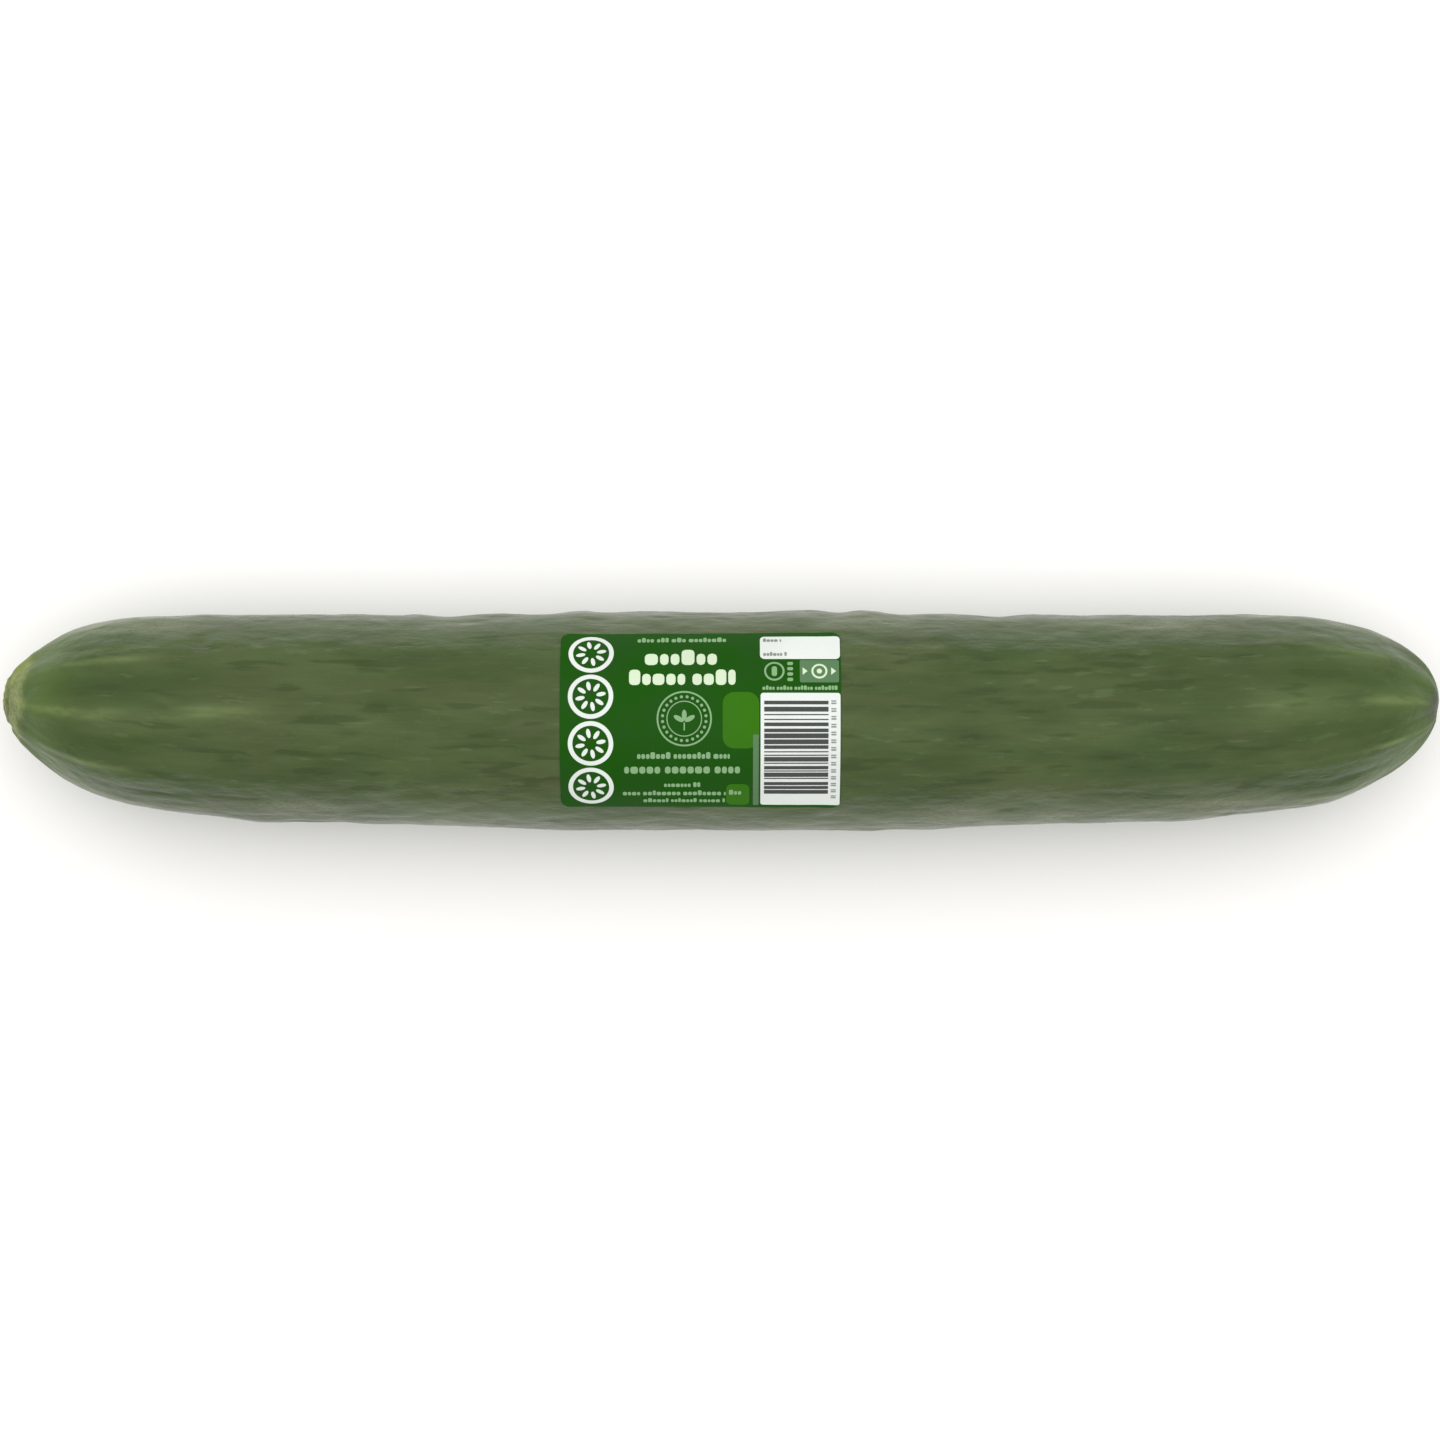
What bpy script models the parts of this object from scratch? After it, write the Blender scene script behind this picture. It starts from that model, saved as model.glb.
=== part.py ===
"""A long English cucumber lying on its side, with a printed sticker on its upper side.

Metres, +Z up. +X runs from the stem end to the blossom end. The origin is under the middle of the
fruit, on the surface that it lies on.
"""

import math

import bmesh
import bpy

# The fruit
LENGTH = 0.330
BARREL_RADIUS = 0.0240
SWELLING = 0.0011  # how much thicker the fruit is round its middle
SWELLING_REACH = 0.055
MIDDLE_RADIUS = BARREL_RADIUS + SWELLING
TAPER = 0.0072  # how much thinner the barrel would be at its tips, before the ends round off
TAPER_POWER = 5.6
END_LENGTH = 0.032  # the stretch that rounds off at each end
STEM_ROUNDING = 2.1  # 2 is an ellipse; a larger number is blunter
BLOSSOM_ROUNDING = 2.7
BOW = 0.0045  # how far both tips lie to the +Y side of the middle
BOW_POWER = 3.8  # the bend is mostly near the ends
SETTLED = 0.0003  # how far the flesh has flattened where it rests

# The skin's shallow lengthwise ribs, which fade out towards the middle
RIBS = 10
RIB_HEIGHT = 0.0002
RIB_FADE = 2.0

# The scar where the stem was cut: a low pad set off by a groove
SCAR_DEPTH = 0.0024
SCAR_GROOVE = 0.0005
SCAR_GROOVE_WIDTH = 0.0009

# The sticker
STICKER_LENGTH = 0.0630
STICKER_ARC = 0.0444  # measured round the fruit
STICKER_X = -0.0044
STICKER_CORNER = 0.0022
STICKER_THICKNESS = 0.0003
STICKER_GAP = 0.0003  # clear of the skin, so that the two solids don't touch

# How finely each solid is divided
FRUIT_AROUND = 4 * RIBS
FRUIT_ALONG = 60
STICKER_ROWS = 14
STICKER_COLUMNS = 10
CORNER_STEPS = 3

SKIN_COLOUR = (0.075, 0.125, 0.035, 1.0)
STICKER_COLOUR = (0.018, 0.095, 0.010, 1.0)


def material(name, colour, roughness):
    made = bpy.data.materials.new(name)
    made.use_nodes = True
    shader = made.node_tree.nodes["Principled BSDF"]
    shader.inputs["Base Color"].default_value = colour
    shader.inputs["Roughness"].default_value = roughness
    shader.inputs["Metallic"].default_value = 0.0
    return made


def named_object(name, bm, made):
    """The mesh as an object with its material, shaded smooth except across sharp edges."""
    mesh = bpy.data.meshes.new(name)
    bm.to_mesh(mesh)
    bm.free()
    mesh.materials.append(made)
    mesh.shade_smooth()
    mesh.set_sharp_from_angle(angle=math.radians(35))
    piece = bpy.data.objects.new(name, mesh)
    bpy.context.scene.collection.objects.link(piece)
    return piece


def end_shape(distance, rounding):
    """From 0 at a tip to 1 where its rounding ends."""
    inwards = min(max(distance / END_LENGTH, 0.0), 1.0)
    return (1.0 - (1.0 - inwards) ** 2) ** (1.0 / rounding)


def scar_groove(distance):
    """How much the groove round the stem scar takes off the radius."""
    return SCAR_GROOVE * math.exp(-(((distance - SCAR_DEPTH) / SCAR_GROOVE_WIDTH) ** 2))


def radius(x, angle):
    """The fruit's radius at x, at an angle measured from straight up towards +Y."""
    along = abs(x) / (LENGTH / 2)
    from_stem, from_blossom = x + LENGTH / 2, LENGTH / 2 - x
    swelling = SWELLING * math.exp(-((x / SWELLING_REACH) ** 4))
    ribs = RIB_HEIGHT * math.cos(RIBS * angle) * along**RIB_FADE
    barrel = BARREL_RADIUS + swelling + ribs - TAPER * along**TAPER_POWER - scar_groove(from_stem)
    return barrel * end_shape(from_stem, STEM_ROUNDING) * end_shape(from_blossom, BLOSSOM_ROUNDING)


def skin_point(x, angle, lift=0.0):
    """A point on the skin, or lifted off it."""
    out = radius(x, angle) + lift
    bow = BOW * (abs(x) / (LENGTH / 2)) ** BOW_POWER
    centre_height = MIDDLE_RADIUS - SETTLED
    return (x, bow + out * math.sin(angle), centre_height + out * math.cos(angle))


def make_fruit():
    """A sphere drawn out into the fruit, cut off flat where it rests."""
    bm = bmesh.new()
    bmesh.ops.create_uvsphere(bm, u_segments=FRUIT_AROUND, v_segments=FRUIT_ALONG, radius=1.0)
    for vert in bm.verts:
        angle = math.atan2(vert.co.y, vert.co.x)
        vert.co = skin_point(vert.co.z * LENGTH / 2, angle)
    everything = bm.verts[:] + bm.edges[:] + bm.faces[:]
    cut = bmesh.ops.bisect_plane(
        bm, geom=everything, plane_co=(0, 0, 0), plane_no=(0, 0, -1), clear_outer=True
    )
    rim = [item for item in cut["geom_cut"] if isinstance(item, bmesh.types.BMEdge)]
    bmesh.ops.contextual_create(bm, geom=rim)
    bmesh.ops.recalc_face_normals(bm, faces=bm.faces)
    return named_object("cucumber", bm, material("skin", SKIN_COLOUR, 0.4))


def sticker_rows():
    """Distances round the fruit from the sticker's middle line, closer together at its corners."""
    half, straight = STICKER_ARC / 2, STICKER_ARC / 2 - STICKER_CORNER
    corner = [
        half - STICKER_CORNER * (1 - math.sin(math.pi / 2 * (1 - step / CORNER_STEPS)))
        for step in range(CORNER_STEPS)
    ]
    middle = [straight * (1 - 2 * row / STICKER_ROWS) for row in range(STICKER_ROWS + 1)]
    return corner + middle + [-row for row in reversed(corner)]


def half_length(row):
    """Half the sticker's length at a row, shorter where its corners round off."""
    past = max(abs(row) - (STICKER_ARC / 2 - STICKER_CORNER), 0.0)
    return STICKER_LENGTH / 2 - STICKER_CORNER + math.sqrt(max(STICKER_CORNER**2 - past**2, 0.0))


def make_sticker():
    """One sheet that follows the skin, thickened outwards."""
    bm = bmesh.new()
    grid = []
    for row in sticker_rows():
        angle = row / MIDDLE_RADIUS
        line = []
        for column in range(STICKER_COLUMNS + 1):
            x = STICKER_X + half_length(row) * (2 * column / STICKER_COLUMNS - 1)
            line.append(bm.verts.new(skin_point(x, angle, STICKER_GAP)))
        grid.append(line)
    for upper, lower in zip(grid, grid[1:]):
        for column in range(STICKER_COLUMNS):
            corners = (upper[column], lower[column], lower[column + 1], upper[column + 1])
            bm.faces.new(corners)
    piece = named_object("label", bm, material("print", STICKER_COLOUR, 0.35))
    thick = piece.modifiers.new("thickness", "SOLIDIFY")
    thick.thickness = STICKER_THICKNESS
    thick.offset = 1.0
    return piece


def main():
    for old in list(bpy.data.objects):
        bpy.data.objects.remove(old, do_unlink=True)
    make_fruit()
    make_sticker()


main()
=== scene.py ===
"""The looks of a long English cucumber with a printed sticker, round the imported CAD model.

+X runs from the stem end to the blossom end and +Z is up. The fruit, the sticker and its print are
fine meshes over the same form as the CAD solids, and take their size and place from the frame.
Shapes are worked out in millimetres and made in metres.
"""

import math
import random

import bmesh
import bpy
import numpy as np
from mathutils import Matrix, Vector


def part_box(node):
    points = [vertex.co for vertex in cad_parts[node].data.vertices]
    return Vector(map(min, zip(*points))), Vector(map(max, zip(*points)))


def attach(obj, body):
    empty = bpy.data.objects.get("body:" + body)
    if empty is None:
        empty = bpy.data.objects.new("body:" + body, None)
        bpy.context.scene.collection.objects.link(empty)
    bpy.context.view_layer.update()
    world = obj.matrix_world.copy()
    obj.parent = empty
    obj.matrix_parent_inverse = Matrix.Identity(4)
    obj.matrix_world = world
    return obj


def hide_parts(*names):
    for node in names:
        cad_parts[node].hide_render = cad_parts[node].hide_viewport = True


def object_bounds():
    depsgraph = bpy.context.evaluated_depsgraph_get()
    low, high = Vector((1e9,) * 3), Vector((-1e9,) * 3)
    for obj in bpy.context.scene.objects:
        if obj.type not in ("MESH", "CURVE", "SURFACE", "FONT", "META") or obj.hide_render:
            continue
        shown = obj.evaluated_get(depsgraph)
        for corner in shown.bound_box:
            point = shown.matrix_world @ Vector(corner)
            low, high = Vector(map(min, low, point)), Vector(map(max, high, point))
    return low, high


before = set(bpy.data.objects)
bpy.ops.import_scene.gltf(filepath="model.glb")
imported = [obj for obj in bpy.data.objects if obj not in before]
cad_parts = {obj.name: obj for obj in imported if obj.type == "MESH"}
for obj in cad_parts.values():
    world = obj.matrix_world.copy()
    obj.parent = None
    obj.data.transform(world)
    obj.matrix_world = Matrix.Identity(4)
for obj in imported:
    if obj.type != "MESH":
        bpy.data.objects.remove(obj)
cad_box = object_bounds()

MM = 0.001

# ------------------------------------------------------------------ sizes from the frame, in mm
FRUIT_LOW, FRUIT_HIGH = (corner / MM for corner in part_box("cucumber"))
LABEL_LOW, LABEL_HIGH = (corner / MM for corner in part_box("label"))
HALF_LENGTH = (FRUIT_HIGH.x - FRUIT_LOW.x) / 2
MIDDLE_RADIUS = (FRUIT_HIGH.y - FRUIT_LOW.y) / 2
AXIS_HEIGHT = FRUIT_HIGH.z - MIDDLE_RADIUS
LABEL_X = (LABEL_LOW.x + LABEL_HIGH.x) / 2
LABEL_LENGTH = LABEL_HIGH.x - LABEL_LOW.x
LABEL_ARC = 2 * MIDDLE_RADIUS * math.asin(LABEL_HIGH.y / (LABEL_HIGH.z - AXIS_HEIGHT))

# ------------------------------------------------------------------ the fruit's form, in mm
SWELLING, SWELLING_REACH = 1.1, 55.0  # thicker round the middle
TAPER, TAPER_POWER = 7.2, 5.6
END_LENGTH, STEM_ROUNDING, BLOSSOM_ROUNDING = 32.0, 2.1, 2.7
BOW, BOW_POWER = 4.5, 3.8
BARREL_RADIUS = MIDDLE_RADIUS - SWELLING
RIBS, RIB_HEIGHT = 10, 0.22
FURROW_DEPTH, KNOB_HEIGHT = 0.22, 0.16
BARE_LIFT = 0.04  # how much higher the skin is off the sticker than under it
FLOW_SHRINK = 0.75  # 1 would shrink the skin's pattern in step with its radius

# How finely the skin is divided: round it, then along it at the ends and in between
AROUND = 264
END_STEP, BODY_STEP = 0.50, 1.15
END_REACH, STEP_BLEND = 20.0, 25.0

# Swellings and dents of the outline: x, angle from the top, height, half length, half width in degrees
LUMPS = (
    (-157, 90, -0.28, 6, 45),
    (-150, 90, 0.40, 6, 35),
    (-119, 90, 0.22, 4, 30),
    (-83, 90, 0.18, 7, 30),
    (-69, 90, 0.32, 3, 20),
    (-62, 88, -0.42, 6, 30),
    (-42, 92, -0.60, 7, 30),
    (-32, 90, 0.20, 3, 25),
    (-25, 90, -0.38, 6, 30),
    (0, 90, -0.33, 13, 32),
    (20, 90, 0.28, 8, 30),
    (27, 90, -0.50, 4, 25),
    (33, 86, 0.30, 4, 20),
    (42, 90, -0.62, 5, 28),
    (64, 88, -0.32, 4, 28),
    (104, 90, -0.20, 9, 30),
    (124, 90, 0.14, 8, 30),
    (142, 90, -0.25, 5, 30),
    (159, 90, -0.50, 7, 50),
    (164, 90, -0.22, 4, 60),
    (0, -90, 0.22, 400, 45),
    (-158, -90, -0.42, 8, 60),
    (-135, -90, -0.32, 8, 32),
    (-106, -88, 0.75, 7, 30),
    (-90, -90, 0.20, 12, 30),
    (-88, -90, -0.25, 4, 24),
    (-73, -90, -0.20, 3, 28),
    (-36, -90, 0.22, 6, 30),
    (34, -90, 0.24, 7, 30),
    (48, -90, 0.50, 7, 34),
    (106, -88, 0.48, 8, 30),
    (141, -85, 0.40, 7, 30),
    (160, -90, -0.32, 7, 45),
    (-118, 46, -0.40, 3, 6),
    (-113, 44, 0.30, 3, 6),
    (-20, 150, 0.35, 14, 40),
    (70, 205, -0.35, 16, 34),
)

# The cut stem's scar and the blossom's, seen along the fruit's length: centre (y, z) and radius.
# The stem's has a pad, a pale ring round its collar and one yellower patch.
STEM_SCAR_CENTRE, STEM_SCAR_RADIUS = (0.3, 0.4), 5.2
STEM_RING_CENTRE, STEM_RING_RADIUS = (1.3, -0.3), 10.9
STEM_PATCH_CENTRE, STEM_PATCH_REACH = (7.2, 4.6), 3.8
BLOSSOM_SCAR_CENTRE, BLOSSOM_SCAR_RADIUS = (-2.6, 2.4), 2.1
# Painted shade above the blossom's scar: its centre (y, z) and reach
BLOSSOM_SHADE_CENTRE, BLOSSOM_SHADE_REACH = (-0.7, 7.0), 3.4
BLOSSOM_CORNER_CENTRE = (-5.4, -0.6)

# Pale places, partly waxy bloom and partly painted reflection haze along the sides: x, angle from the
# top, half length, half width in degrees
BLOOM_AND_SHEEN_SPOTS = (
    (-96, -58, 12, 7),
    (-64, -74, 5, 6),
    (52, -60, 9, 8),
    (77, -66, 8, 6),
    (114, -60, 14, 6),
    (-130, 60, 9, 8),
    (-60, 66, 7, 6),
    (33, 64, 8, 7),
    (100, 63, 14, 7),
    (-30, -150, 10, 9),
    (60, 165, 12, 8),
    (-110, 140, 9, 10),
    (20, -115, 8, 7),
    (-146, 72, 11, 14),
    (-133, 84, 12, 11),
    (132, 84, 14, 11),
    (149, 74, 10, 13),
    (-147, -66, 8, 9),
    (153, -62, 8, 11),
)

# ------------------------------------------------------------------ the sticker, in mm
LABEL_CORNER = 2.2
LABEL_LIFT, LABEL_THICKNESS = 0.06, 0.12
INK_GAP, INK_THICKNESS = 0.02, 0.02
CUT_ALONG, CUT_ROUND = 2.0, 1.0  # the sticker and its print bend along the same lines
CRINKLE, CORNER_LIFT, EDGE_LIFT = 0.028, 0.22, 0.05
SLICE_SEEDS, BADGE_DOTS = 8, 24


# ================================================================== the skin's surface
def end_shape(distance, rounding):
    """From 0 at a tip to 1 where its rounding ends."""
    inwards = np.clip(distance / END_LENGTH, 0.0, 1.0)
    return (1.0 - (1.0 - inwards) ** 2) ** (1.0 / rounding)


def form_radius(x):
    """The plain form's radius, without its relief."""
    along = np.abs(x) / HALF_LENGTH
    swelling = SWELLING * np.exp(-((x / SWELLING_REACH) ** 4))
    barrel = BARREL_RADIUS + swelling - TAPER * along**TAPER_POWER
    ends = end_shape(x + HALF_LENGTH, STEM_ROUNDING) * end_shape(HALF_LENGTH - x, BLOSSOM_ROUNDING)
    return barrel * ends


def bow(x):
    """How far the fruit's axis lies to the +Y side."""
    return BOW * (np.abs(x) / HALF_LENGTH) ** BOW_POWER


# The profile by its own length, so that points and normals are even over the rounded ends
PROFILE_X = -HALF_LENGTH * np.cos(np.linspace(0.0, math.pi, 6001))
PROFILE_R = form_radius(PROFILE_X)
PROFILE_S = np.concatenate(([0.0], np.cumsum(np.hypot(np.diff(PROFILE_X), np.diff(PROFILE_R)))))
PROFILE_OUT_X = -np.gradient(PROFILE_R, PROFILE_S)
PROFILE_OUT_R = np.gradient(PROFILE_X, PROFILE_S)


def smooth(value, low, high):
    """From 0 at low to 1 at high, easing in and out."""
    t = np.clip((value - low) / (high - low), 0.0, 1.0)
    return t * t * (3.0 - 2.0 * t)


def bell(value, width):
    """1 at zero, falling smoothly away on both sides."""
    return np.exp(-((value / width) ** 2))


def waves(x, angle, length, turns, seed, count=26):
    """Random smooth heights, about -1 to 1 and seamless round the fruit.

    A wave is about length long, and goes a whole number of times round the fruit, from turns.
    """
    rng = np.random.default_rng(seed)
    total = np.zeros(np.broadcast(x, angle).shape)
    for _ in range(count):
        rate = rng.normal(0.0, 2 * math.pi / length)
        number = rng.integers(turns[0], turns[1] + 1)
        total += np.cos(rate * x + number * angle + rng.uniform(0.0, 2 * math.pi))
    return total / math.sqrt(count)


def angle_between(angle, other):
    """The turn from one angle to another, between -pi and pi."""
    return np.angle(np.exp(1j * (angle - other)))


def plan(x, angle, centre):
    """Distance and direction from a point of an end, seen along the fruit."""
    radius = np.interp(x, PROFILE_X, PROFILE_R)
    across = radius * np.sin(angle) - centre[0]
    upwards = radius * np.cos(angle) - centre[1]
    return np.hypot(across, upwards), np.arctan2(across, upwards)


def from_scar(x, angle):
    """Distance and angle round the ribs' own middle, which drifts to the scar at either tip."""
    radius = np.interp(x, PROFILE_X, PROFILE_R)
    drift = 1 - smooth(radius, 0.0, 16.0)
    centre_y = drift * np.where(x < 0, STEM_SCAR_CENTRE[0], BLOSSOM_SCAR_CENTRE[0])
    centre_z = drift * np.where(x < 0, STEM_SCAR_CENTRE[1], BLOSSOM_SCAR_CENTRE[1])
    across, upwards = radius * np.sin(angle) - centre_y, radius * np.cos(angle) - centre_z
    return np.hypot(across, upwards), np.arctan2(across, upwards)


def rib_angle(x, angle):
    """The angle round the ribs' middle, with their slight wander taken out."""
    return from_scar(x, angle)[1] + 0.05 * np.sin(x / 31.0 + 0.6) + 0.03 * np.sin(x / 13.0)


def spot(x, angle, at, degrees, half_length, half_width):
    """1 at a place on the skin, falling away along it in mm and round it in degrees."""
    across = angle_between(angle, math.radians(degrees)) / math.radians(half_width)
    return np.exp(-(((x - at) / half_length) ** 2) - across**2)


def broad_relief(x, angle):
    """Swellings, dents and ribs, which the sticker follows."""
    height = 0.10 * waves(x, angle, 70.0, (1, 4), seed=3)
    for at, degrees, tall, half_length, half_width in LUMPS:
        height = height + tall * spot(x, angle, at, degrees, half_length, half_width)
    fade = (np.abs(x) / HALF_LENGTH) ** 1.6 * smooth(from_scar(x, angle)[0], 1.5, 10.0)
    return height + RIB_HEIGHT * fade * np.cos(RIBS * rib_angle(x, angle))


def scattered(x, angle, seed, count, lengths, widths, strengths, most):
    """Random small marks on the skin, with half lengths in mm and half widths in radians."""
    rng = np.random.default_rng(seed)
    total = np.zeros(np.broadcast(x, angle).shape)
    for _ in range(count):
        at, turn = rng.uniform(-HALF_LENGTH, HALF_LENGTH), rng.uniform(-math.pi, math.pi)
        half_length, half_width = rng.uniform(*lengths), rng.uniform(*widths)
        strength = rng.uniform(*strengths)
        near = np.abs(x[:, 0] - at) < 3 * half_length
        along = ((x[near] - at) / half_length) ** 2
        across = (angle_between(angle, turn) / half_width) ** 2
        total[near] += strength * np.exp(-along - across)
    return np.minimum(total, most)


def furrows(x, angle):
    """Short scattered furrows that run along the skin, 0 to about 1 deep."""
    return scattered(x, angle, 11, 230, (2.5, 7.0), (0.024, 0.052), (0.35, 1.0), 1.3)


def knobs(x, angle):
    """Scattered low bumps, 0 to about 1 high."""
    return scattered(x, angle, 12, 90, (1.8, 4.5), (0.05, 0.11), (0.4, 1.0), 1.2)


def fine_relief(x, angle):
    """Wrinkles and low bumps over the whole skin."""
    radius = np.interp(x, PROFILE_X, PROFILE_R)
    wrinkles = 0.065 * waves(x, angle, 20.0, (5, 15), seed=5) * smooth(radius, 2.0, 12.0)
    creases = 0.040 * waves(x, angle, 9.0, (14, 38), seed=6, count=48) * smooth(radius, 8.0, 20.0)
    return wrinkles + creases + KNOB_HEIGHT * knobs(x, angle) * smooth(radius, 5.0, 14.0)


def scar_edge(turn):
    """The pad's radius, which is slightly five-sided."""
    return STEM_SCAR_RADIUS * (1 + 0.045 * np.cos(5 * turn + 0.5))


def stem_relief(x, angle):
    """The pad left by the cut stem, its groove, the puckers round it and the collar's low rim."""
    q, turn = plan(x, angle, STEM_SCAR_CENTRE)
    across, upwards = q * np.sin(turn), q * np.cos(turn)
    pad = 1 - smooth(q, scar_edge(turn) - 0.5, scar_edge(turn) + 0.25)
    groove = (0.40 - 0.28 * np.sin(turn)) * bell(q - scar_edge(turn) - 0.9, 0.7)
    grains = 0.12 * np.cos(1.9 * across + 0.6) * np.cos(1.7 * upwards - 0.4)
    fibres = 0.05 * np.cos(13 * turn + 2.2 * q) * smooth(q, 1.5, 4.0)
    fibres = fibres + 0.06 * np.cos(3.4 * across - 2.3 * upwards) * np.cos(2.9 * upwards + 1.1)
    puckers = 0.07 * np.cos(21 * turn + 1.3 * np.sin(3 * turn)) * bell(q - 8.0, 2.2)
    r, _ = plan(x, angle, STEM_RING_CENTRE)
    ring = 0.12 * bell(r - STEM_RING_RADIUS, 0.8)
    hollow = 0.25 * (q / STEM_SCAR_RADIUS) ** 2 + 0.10 * np.sin(turn) - 0.32
    return pad * (grains + fibres + hollow) - groove + puckers + ring


def blossom_relief(x, angle):
    """The blossom's dimple, with a low rim and folds, and the end's slight corner."""
    b, turn = plan(x, angle, BLOSSOM_SCAR_CENTRE)
    c, _ = plan(x, angle, BLOSSOM_CORNER_CENTRE)
    dimple = 0.10 * bell(c, 2.6) - 0.30 * bell(b, BLOSSOM_SCAR_RADIUS * 0.7) - 0.06 * bell(b, 11.0)
    dimple = dimple + 0.10 * bell(b - BLOSSOM_SCAR_RADIUS, 0.6)
    return dimple + 0.05 * np.cos(RIBS * turn + np.sin(2 * turn)) * bell(b - 3.4, 1.5)


def under_label(x, angle):
    """1 beneath the sticker and 0 away from it."""
    along = 1 - smooth(np.abs(x - LABEL_X), LABEL_LENGTH / 2 - 0.6, LABEL_LENGTH / 2 + 1.0)
    arc = np.abs(angle_between(angle, 0.0)) * MIDDLE_RADIUS
    return along * (1 - smooth(arc, LABEL_ARC / 2 - 0.6, LABEL_ARC / 2 + 1.0))


def on_skin(x, angle, height):
    """The points at a height over the plain form, as an array of (x, y, z)."""
    radius = np.interp(x, PROFILE_X, PROFILE_R)
    out_x = np.interp(x, PROFILE_X, PROFILE_OUT_X)
    out_r = np.interp(x, PROFILE_X, PROFILE_OUT_R)
    from_axis = radius + height * out_r
    z = AXIS_HEIGHT + from_axis * np.cos(angle)
    return np.stack(
        np.broadcast_arrays(x + height * out_x, bow(x) + from_axis * np.sin(angle), z), axis=-1
    )


# ================================================================== the fruit's mesh
def stations():
    """Places along the profile, closer together at both ends."""
    total = PROFILE_S[-1]
    places = [END_STEP]
    while places[-1] < total - END_STEP:
        from_end = min(places[-1], total - places[-1])
        share = smooth(np.float64(from_end), END_REACH, END_REACH + STEP_BLEND)
        places.append(places[-1] + END_STEP + (BODY_STEP - END_STEP) * float(share))
    stretch = (total - END_STEP) / places[-1]
    return np.array(places) * stretch


def vein_mask(x, angle):
    """Pale lengthwise streaks on the ribs, strong towards both ends."""
    rng = np.random.default_rng(21)
    mask = np.zeros(np.broadcast(x, angle).shape)
    for rib in range(RIBS):
        turn = 2 * math.pi * rib / RIBS + rng.normal(0.0, 0.035)
        strength, start = rng.uniform(0.75, 1.15, 2), rng.uniform(92.0, 128.0, 2)
        width = rng.uniform(0.034, 0.060)
        side = np.where(x < 0, strength[0], strength[1])
        begins = np.where(x < 0, start[0], start[1])
        broken = 0.62 + 0.38 * np.sin(x / rng.uniform(4.0, 9.0) + rng.uniform(0, 6.3))
        along = smooth(np.abs(x), begins, begins + 26.0) * side * broken
        mask += along * bell(angle_between(rib_angle(x, angle), turn), width)
    return mask * smooth(from_scar(x, angle)[0], 1.0, 5.0)


def bloom_and_sheen_mask(x, angle):
    """1 at the middle of each pale place, which is partly waxy bloom and partly painted reflection haze.
    """
    mask = np.zeros(np.broadcast(x, angle).shape)
    for at, degrees, half_length, half_width in BLOOM_AND_SHEEN_SPOTS:
        mask += spot(x, angle, at, degrees, half_length, half_width)
    return mask


def set_attribute(mesh, name, values):
    """One number or one vector a vertex, for the materials to read."""
    kind, key = ("FLOAT", "value") if values.ndim == 1 else ("FLOAT_VECTOR", "vector")
    layer = mesh.attributes.new(name, kind, "POINT")
    layer.data.foreach_set(key, values.astype(np.float32).ravel())


def with_tips(grid, stem, blossom):
    """A grid of values, one row a ring, as a list with the two tips' own values last."""
    flat = grid.reshape(-1, *grid.shape[2:])
    return np.concatenate([flat, np.array([stem, blossom]).reshape(2, *grid.shape[2:])])


def skin_faces(rings):
    """Squares between the rings and a fan of triangles at each tip, all facing out."""
    stem, blossom = rings * AROUND, rings * AROUND + 1
    faces = []
    for ring in range(rings - 1):
        low, high = ring * AROUND, (ring + 1) * AROUND
        for j in range(AROUND):
            k = (j + 1) % AROUND
            faces.append((low + j, high + j, high + k, low + k))
    last = (rings - 1) * AROUND
    for j in range(AROUND):
        k = (j + 1) % AROUND
        faces.append((stem, j, k))
        faces.append((blossom, last + k, last + j))
    return faces


def skin_map(mesh, rings, places):
    """A flat map of the skin with its seam underneath, for baking."""
    share = places / PROFILE_S[-1]
    uv = []
    for ring in range(rings - 1):
        for j in range(AROUND):
            low, high = share[ring], share[ring + 1]
            uv += [(low, j), (high, j), (high, j + 1), (low, j + 1)]
    for j in range(AROUND):
        uv += [(0.0, j + 0.5), (share[0], j), (share[0], j + 1)]
        uv += [(1.0, j + 0.5), (share[-1], j + 1), (share[-1], j)]
    uv = np.array(uv, np.float32)
    uv[:, 1] /= AROUND
    layer = mesh.uv_layers.new(name="OFBake")
    layer.data.foreach_set("uv", (0.002 + 0.996 * uv).ravel())


def skin_height(x, angle, places, dents):
    """How far the skin stands over the plain form. Its relief eases off at both tips."""
    bare = 1 - under_label(x, angle)
    scars = np.where(x < 0, stem_relief(x, angle), blossom_relief(x, angle))
    height = broad_relief(x, angle) + scars
    height = height + (fine_relief(x, angle) + BARE_LIFT) * bare - FURROW_DEPTH * dents
    near_tip = np.minimum(places, PROFILE_S[-1] - places)[:, None]
    return height * smooth(near_tip, -2.0, 3.0)


def skin_flow(x, angle, places):
    """Distance along the skin, then round it; the pattern shrinks a little towards the tips."""
    wide_x, wide_angle = np.broadcast_arrays(x, angle)
    along = np.broadcast_to((places - PROFILE_S[-1] / 2)[:, None], wide_x.shape)
    reach = MIDDLE_RADIUS * (np.interp(wide_x, PROFILE_X, PROFILE_R) / MIDDLE_RADIUS) ** FLOW_SHRINK
    return np.stack([along, reach * np.sin(wide_angle), reach * np.cos(wide_angle)], axis=-1)


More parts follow.
